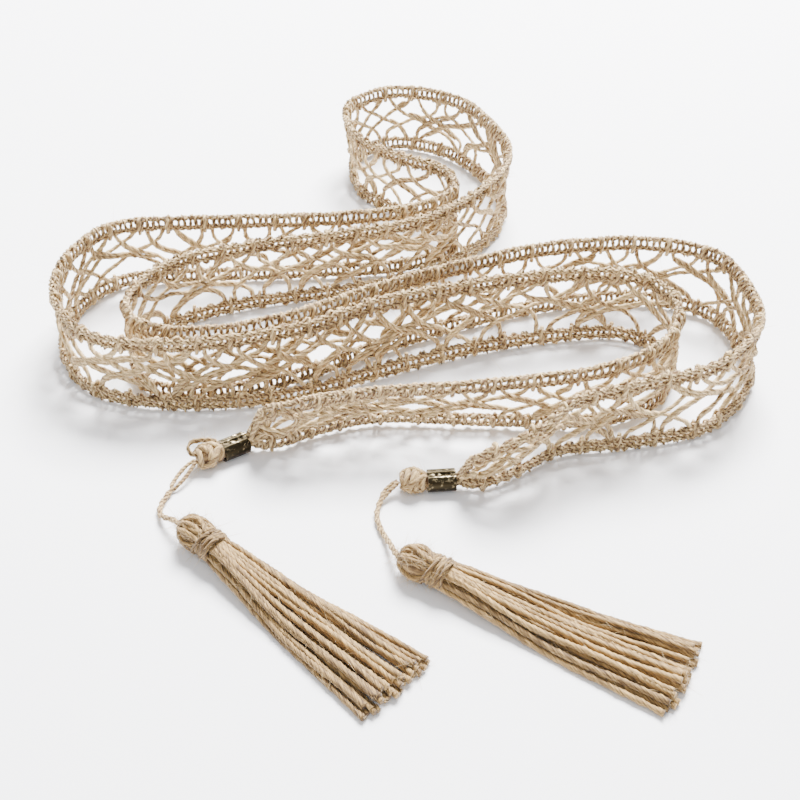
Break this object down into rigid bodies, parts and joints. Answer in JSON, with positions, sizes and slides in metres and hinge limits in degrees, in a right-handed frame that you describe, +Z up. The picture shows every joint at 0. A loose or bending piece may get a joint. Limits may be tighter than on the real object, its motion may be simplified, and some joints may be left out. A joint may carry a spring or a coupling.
{
  "type": "lace waist sash with tassels",
  "caption": "Openwork jute lace waist sash standing on edge in a long folded path, with a clamp, knot, short cord and tassel at each end.",
  "frame": {"origin": "middle of the laid sash, on the surface that it lies on", "axes": "+Z up from the surface; +Y towards the far loop of the lay, away from the tassels; +X to the right"},
  "size_m": [0.293, 0.3838, 0.0374],
  "materials": {
    "jute_lace": "natural jute yarn, plaited and crossed, with stray fibres",
    "jute_yarn": "natural two-ply jute yarn, wound or knotted",
    "jute_tassel": "natural two-ply jute yarns with cut, frayed ends",
    "old_brass": "darkened brass, rubbed bright on its raised parts"
  },
  "bodies": {
    "root": {"lace_band": "jute_lace", "clamp_left": "old_brass", "clamp_right": "old_brass", "knot_left": "jute_yarn", "knot_right": "jute_yarn", "cord_left": "jute_yarn", "cord_right": "jute_yarn", "tassel_left": "jute_tassel", "tassel_right": "jute_tassel", "binding_left": "jute_yarn", "binding_right": "jute_yarn"}
  },
  "joints": []
}
